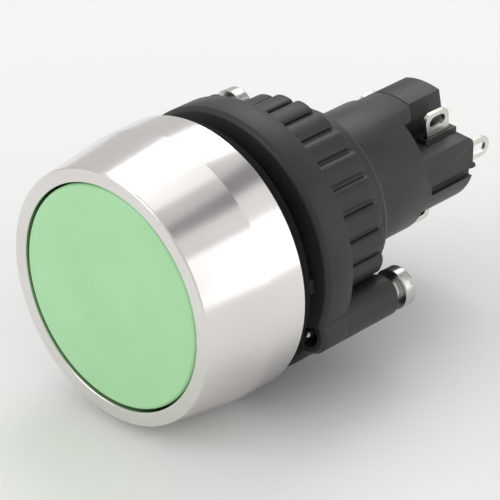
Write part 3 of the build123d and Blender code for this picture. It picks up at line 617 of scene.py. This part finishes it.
# The washer's finish is painted lighter, as painted light in its shaded gap
makePiece("ringWasher", [np.stack([polarGrid(r, y, washerAngle) for r, y in washerRows])], "switch", ["ring_washer"],
          finishes["washerPlasticPaintedLight"], 35)

# Clamp screws: a slotted cheese head, a threaded shank and a point
screw = {
    "tip": 2.1, "dome": 0.3, "pointLength": 1.8, "pointRadius": 0.35, "shank": 1.25, "threadDepth": 0.12,
    "pitch": 0.45, "threadEnd": 12.0, "headUnder": 14.55, "headRadius": 2.22, "headHeight": 1.55, "edge": 0.26,
    "slotWidth": 0.62, "slotDepth": 0.75, "slotAngles": (-56.0, -78.0),
}


# The head's end is a grid of lines along the slot: the height is flat, falls round the rim as a quarter
# circle, and drops to the floor between the slot's walls. Its border carries on down the side and the shank.
def screwGrids(centre, slotAngle):
    radius, half = screw["headRadius"], screw["slotWidth"] / 2
    besideSlot, overSlot, alongSlot = 14, 5, 33
    outer = half + (radius - half) * np.sin(np.linspace(0.0, 0.5 * np.pi, besideSlot))
    across = np.concatenate([-outer[::-1], np.linspace(-half, half, overSlot), outer])
    inSlot = np.zeros(len(across), bool)
    inSlot[besideSlot:besideSlot + overSlot] = True
    along = np.sin(np.linspace(-0.5 * np.pi, 0.5 * np.pi, alongSlot))
    u = np.broadcast_to(across[:, None], (len(across), alongSlot))
    v = np.sqrt(np.maximum(radius**2 - u**2, 0)) * along[None]
    past = np.maximum(np.hypot(u, v) - (radius - screw["edge"]), 0)
    top = screw["headHeight"] - screw["edge"] + np.sqrt(np.maximum(screw["edge"] ** 2 - past**2, 0))
    height = np.where(inSlot[:, None], screw["headHeight"] - screw["slotDepth"], top)
    turn = math.radians(slotAngle)

    def place(u, v, y):
        x = centre[0] + u * np.cos(turn) - v * np.sin(turn)
        z = centre[1] + u * np.sin(turn) + v * np.cos(turn)
        return np.stack(np.broadcast_arrays(x, y, z), -1)

    face = place(u, v, screw["headUnder"] + height)
    border = np.concatenate([np.arange(len(across)), np.arange(len(across))[::-1]])
    end = np.concatenate([np.full(len(across), alongSlot - 1), np.zeros(len(across), int)])
    edgeU, edgeV, edgeY = u[border, end], v[border, end], screw["headUnder"] + height[border, end]
    around = np.arctan2(edgeV, edgeU)
    rows = [place(edgeU, edgeV, edgeY), place(edgeU, edgeV, screw["headUnder"] + 0.1),
            place(edgeU * 0.96, edgeV * 0.96, screw["headUnder"])]
    pointStart = screw["tip"] + screw["pointLength"]
    for y in np.concatenate([np.arange(screw["headUnder"], screw["threadEnd"], -0.05), [pointStart]]):
        wave = 0.5 - 0.5 * np.cos(2 * np.pi * (y / screw["pitch"]) - around)
        reach = (screw["shank"] - screw["threadDepth"] * wave) / radius
        rows.append(place(edgeU * reach, edgeV * reach, y))
    for turned in np.linspace(0, np.pi / 2, 5):  # the point ends in a small dome
        reach = screw["pointRadius"] * math.cos(turned) / radius
        rows.append(place(edgeU * reach, edgeV * reach, screw["tip"] - screw["dome"] * math.sin(turned)))
    return face, np.stack(rows)


# The head's end isn't closed on itself, so its last column is doubled back to the first.
screwMeshes = []
for centre, slotAngle in zip(bossCentres, screw["slotAngles"]):
    face, side = screwGrids(centre, slotAngle)
    screwMeshes += [np.concatenate([face, face[:, ::-1]], 1), side]
makePiece("clampScrews", screwMeshes, "switch", ["clamp_screws"], finishes["nickelScrew"], 32)

# Casing of the switching element: a tube with a tongue over its open rear end
casing = {
    "front": 3.0, "rear": 24.82, "radius": 7.4, "wall": 1.0, "edge": 0.1, "frontHole": 3.5, "frontWall": 1.2,
    "tongue": ((57.9, 24.82), (58.0, 25.7), (59.5, 26.1), (70.0, 27.3), (72.0, 27.4), (110.5, 27.4), (110.6, 24.82)),
}
tongueAngle, tongueRear = np.radians([p[0] for p in casing["tongue"]]), [p[1] for p in casing["tongue"]]
innerRadius = casing["radius"] - casing["wall"]
casingAngle = np.radians(np.linspace(0, 360, 240, endpoint=False))
casingAngle = np.unique(np.round(np.concatenate([casingAngle, tongueAngle]), 6))
rearY = np.interp(casingAngle, tongueAngle, tongueRear)  # the rear edge as a function of the angle
casingRows = [polarGrid(r, y, casingAngle) for r, y in (
    (casing["frontHole"], casing["front"]), (casing["radius"] - 0.1, casing["front"]),
    (casing["radius"], casing["front"] + 0.1), (casing["radius"], 20.0),
    (casing["radius"], rearY - casing["edge"]), (casing["radius"] - 0.03, rearY - 0.03),
    (casing["radius"] - casing["edge"], rearY), (innerRadius + 0.06, rearY),
    (innerRadius, rearY - 0.06), (innerRadius, casing["front"] + casing["frontWall"]),
    (casing["frontHole"], casing["front"] + casing["frontWall"]), (casing["frontHole"], casing["front"]),
)]
makePiece("switchCasing", [np.stack(casingRows)], "switch", ["switch_body"],
          finishes["casingPlastic"], 32)

# Pieces with flat faces: the CAD solids with broken edges
# A pair is a place in the CAD solid and its place here.
base = {
    "radius": 6.65, "grooveSide": 5.9, "lobeFront": (28.25, 27.46), "grooveFront": (26.3, 26.7),
    "grooveTop": (-1.25, -0.9), "grooveLow": (-1.85, -1.97), "padSides": (2.9, 4.5), "padFoot": 2.4,
    "pad": ((28.4, 27.9), (28.75, 28.25), (32.6, 32.8), (32.25, 32.0)),
}
eye = {
    "middleY": (30.5, 30.12), "middleZ": (4.775, 4.82), "length": (1.7, 2.45), "width": (1.15, 1.3),
    "lugFront": (28.8, 28.3), "lugRear": (32.2, 31.95), "lugFoot": 2.55,
}


# Which of the values lie at a place.
def lieAt(values, place):
    return np.abs(values - place) < 0.02


# The upper lobe starts where the tongue ends, the side grooves are wide, and the right lug's pad is longer.
def shapeBase(place):
    x, y, z = place.T.copy()
    side = np.abs(x)
    y[lieAt(y, base["lobeFront"][0])] = base["lobeFront"][1]
    onRim = side > base["radius"] - 0.3
    onGroove = lieAt(side, base["grooveSide"]) | onRim
    y[onGroove & lieAt(y, base["grooveFront"][0]) & (z < 0)] = base["grooveFront"][1]
    z[onGroove & lieAt(z, base["grooveTop"][0])] = base["grooveTop"][1]
    low = onGroove & lieAt(z, base["grooveLow"][0])
    lowRim = low & onRim
    x[lowRim] = np.sign(x[lowRim]) * math.sqrt(base["radius"] ** 2 - base["grooveLow"][1] ** 2)
    z[low] = base["grooveLow"][1]
    onPad = (x > base["padSides"][0]) & (x < base["padSides"][1]) & (z > base["padFoot"])
    for old, new in base["pad"]:
        y[onPad & lieAt(y, old)] = new
    return np.stack([x, y, z], -1)


# The lug's eye is stretched about its own middle, and the lug's two edges are set to their places.
def shapeLug(place):
    x, y, z = place.T.copy()
    fromMiddleY, fromMiddleZ = y - eye["middleY"][0], z - eye["middleZ"][0]
    inEye = (np.abs(fromMiddleY) < eye["length"][0] / 2 + 0.02) & (np.abs(fromMiddleZ) < eye["width"][0] / 2 + 0.025)
    newY = eye["middleY"][1] + fromMiddleY * eye["length"][1] / eye["length"][0]
    newZ = eye["middleZ"][1] + fromMiddleZ * eye["width"][1] / eye["width"][0]
    onLug = (z > eye["lugFoot"]) & ~inEye
    lugY = np.interp(y, (eye["lugFront"][0], eye["lugRear"][0]), (eye["lugFront"][1], eye["lugRear"][1]))
    return np.stack([x, np.where(inEye, newY, np.where(onLug, lugY, y)), np.where(inEye, newZ, z)], -1)


softEdges = {
    "terminalBase": ("terminal_base", "black_plastic", "casingPlastic", 0.10, shapeBase),
    "restTerminalRight": ("terminal_nc_right", "tinned_brass", "tinnedStrip", 0.07, shapeLug),
    "restTerminalLeft": ("terminal_nc_left", "tinned_brass", "tinnedStrip", 0.07),
    "workTerminalRight": ("terminal_no_right", "tinned_brass", "tinnedStrip", 0.07),
    "workTerminalLeft": ("terminal_no_left", "tinned_brass", "tinnedStrip", 0.07),
    "commonTerminalRight": ("terminal_com_right", "tinned_brass", "tinnedStrip", 0.07),
    "commonTerminalLeft": ("terminal_com_left", "tinned_brass", "tinnedStrip", 0.07),
}
for name, (node, slotName, finish, width, *moves) in softEdges.items():
    softenNode(name, node, "switch", slotName, finishes[finish], width, *moves)

# Springs: smoothed copies of the CAD springs, each with a mesh of its own; their resting ends and the button's
# travel are listed but not used
springs = {"travel": 3.0, "returnSpring": ("return_spring", 1.0), "slideSpring": ("slide_spring", 22.3)}
for name in ("returnSpring", "slideSpring"):
    node, restingEnd = springs[name]
    spring = softenNode(name, node, "switch", "spring_steel", finishes["drawnWire"], 0, sharpAngle=60)
    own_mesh(spring)


# Floor, light and camera
studio = {
    "floorSize": 1.2, "floorTone": (236, 236, 234), "ambient": 0.76, "backdrop": (0.67, 0.67, 0.66),
    # Turn round the button's axis, share along it, distance, size along the axis, size across, radiance.
    "softboxes": {
        "rearRight": (14.5, 0.55, 0.45, 0.21, 0.37, 0.95),
        "rearHigh": (53, 0.55, 0.45, 0.21, 0.15, 0.22),
        "rearTop": (92, 0.385, 0.45, 0.08, 0.14, 0.6),
        "rearLeft": (119, 0.55, 0.45, 0.25, 0.225, 2.6),
        "front": (122, -0.80, 0.60, 0.40, 0.40, 1.75),
    },
    # A dull board beside the lamps gives the metal its one dark streak; only reflections show it.
    "board": {"from": (0.412, 0.407, 0.815), "to": (0.149, 0.627, 0.765), "distance": 0.40, "length": 0.24,
              "width": 0.07, "tone": 0.25},
}
lowest = cadBox[0].z
floorMesh = bpy.data.meshes.new("floor")
reach = studio["floorSize"]
floorCorners = [(x * reach, y * reach, lowest) for x, y in ((-1, -1), (1, -1), (1, 1), (-1, 1))]
floorMesh.from_pydata(floorCorners, [], [(0, 1, 2, 3)])
floor = bpy.data.objects.new("floor", floorMesh)
bpy.context.scene.collection.objects.link(floor)
floorMaterial = bpy.data.materials.new("floorPaper")
floorMaterial.use_nodes = True
floorShader = floorMaterial.node_tree.nodes["Principled BSDF"]
floorShader.inputs["Base Color"].default_value = fromScreen(*studio["floorTone"])
floorShader.inputs["Roughness"].default_value = 0.9
floorShader.inputs["Specular IOR Level"].default_value = 0.1
floorMesh.materials.append(floorMaterial)

world = bpy.data.worlds.new("studioWorld")
bpy.context.scene.world = world
world.use_nodes = True
worldTree = world.node_tree
ambient = worldTree.nodes["Background"]
ambient.inputs["Color"].default_value = (1, 1, 1, 1)
ambient.inputs["Strength"].default_value = studio["ambient"]
backdrop = addNode(worldTree, "ShaderNodeBackground", {}, {"Color": (*studio["backdrop"], 1), "Strength": 1.0})
path = addNode(worldTree, "ShaderNodeLightPath")
seen = addNode(worldTree, "ShaderNodeMath", {"operation": "MAXIMUM"})
seenAll = addNode(worldTree, "ShaderNodeMath", {"operation": "MAXIMUM"})
blend = addNode(worldTree, "ShaderNodeMixShader")
worldTree.links.new(path.outputs["Is Camera Ray"], seen.inputs[0])
worldTree.links.new(path.outputs["Is Glossy Ray"], seen.inputs[1])
worldTree.links.new(seen.outputs[0], seenAll.inputs[0])
worldTree.links.new(path.outputs["Is Transmission Ray"], seenAll.inputs[1])
worldTree.links.new(seenAll.outputs[0], blend.inputs[0])
worldTree.links.new(ambient.outputs[0], blend.inputs[1])
worldTree.links.new(backdrop.outputs[0], blend.inputs[2])
worldTree.links.new(blend.outputs[0], worldTree.nodes["World Output"].inputs["Surface"])

for name, (turn, share, distance, length, width, radiance) in studio["softboxes"].items():
    light = bpy.data.lights.new(name, "AREA")
    light.shape = "RECTANGLE"
    light.size, light.size_y = length, width
    light.energy = radiance * math.pi * width * length  # a flat lamp's power is its radiance times pi times its area
    lamp = bpy.data.objects.new(name, light)
    turn, level = math.radians(turn), math.sqrt(1 - share**2)
    toward = Vector((level * math.cos(turn), share, level * math.sin(turn)))
    across = Vector((-math.sin(turn), 0, math.cos(turn)))
    lamp.location = toward * distance
    lamp.rotation_mode = "QUATERNION"
    lamp.rotation_quaternion = Matrix((across.cross(toward), across, toward)).transposed().to_quaternion()
    bpy.context.scene.collection.objects.link(lamp)

board = studio["board"]
boardStart, boardEnd = Vector(board["from"]).normalized(), Vector(board["to"]).normalized()
boardMiddle = (boardStart + boardEnd).normalized()
boardAlong = (boardEnd - boardStart).normalized()
halfAlong, halfAcross = boardAlong * board["length"] / 2, boardMiddle.cross(boardAlong) * board["width"] / 2
boardMesh = bpy.data.meshes.new("board")
boardMesh.from_pydata([boardMiddle * board["distance"] + halfAlong * a + halfAcross * b
                       for a, b in ((-1, -1), (1, -1), (1, 1), (-1, 1))], [], [(0, 1, 2, 3)])
boardPiece = bpy.data.objects.new("board", boardMesh)
boardPiece.visible_camera = boardPiece.visible_diffuse = boardPiece.visible_shadow = False
bpy.context.scene.collection.objects.link(boardPiece)
boardPaint = bpy.data.materials.new("boardPaint")
boardPaint.use_nodes = True
boardShader = boardPaint.node_tree.nodes["Principled BSDF"]
boardShader.inputs["Base Color"].default_value = (0, 0, 0, 1)
boardShader.inputs["Specular IOR Level"].default_value = 0.0
boardShader.inputs["Emission Color"].default_value = (1, 1, 1, 1)
boardShader.inputs["Emission Strength"].default_value = board["tone"]
boardMesh.materials.append(boardPaint)

lens = {"location": (184.18, -184.59, 145.84), "focal": 213.05, "right": (0.7184, 0.6956, 0.0003),
        "up": (-0.3402, 0.3510, 0.8724), "back": (0.6067, -0.6269, 0.4888)}
camera = bpy.data.objects.new("camera", bpy.data.cameras.new("camera"))
camera.data.lens = lens["focal"]
camera.data.sensor_width = 36.0
camera.data.clip_start, camera.data.clip_end = 0.01, 10.0
axes = Matrix((lens["right"], lens["up"], lens["back"])).transposed()
camera.rotation_mode = "QUATERNION"
camera.rotation_quaternion = axes.to_quaternion()
camera.location = Vector(lens["location"]) * millimetre
bpy.context.scene.collection.objects.link(camera)
bpy.context.scene.camera = camera
bpy.context.scene.view_settings.view_transform = "Standard"
print("floor, light and camera placed")
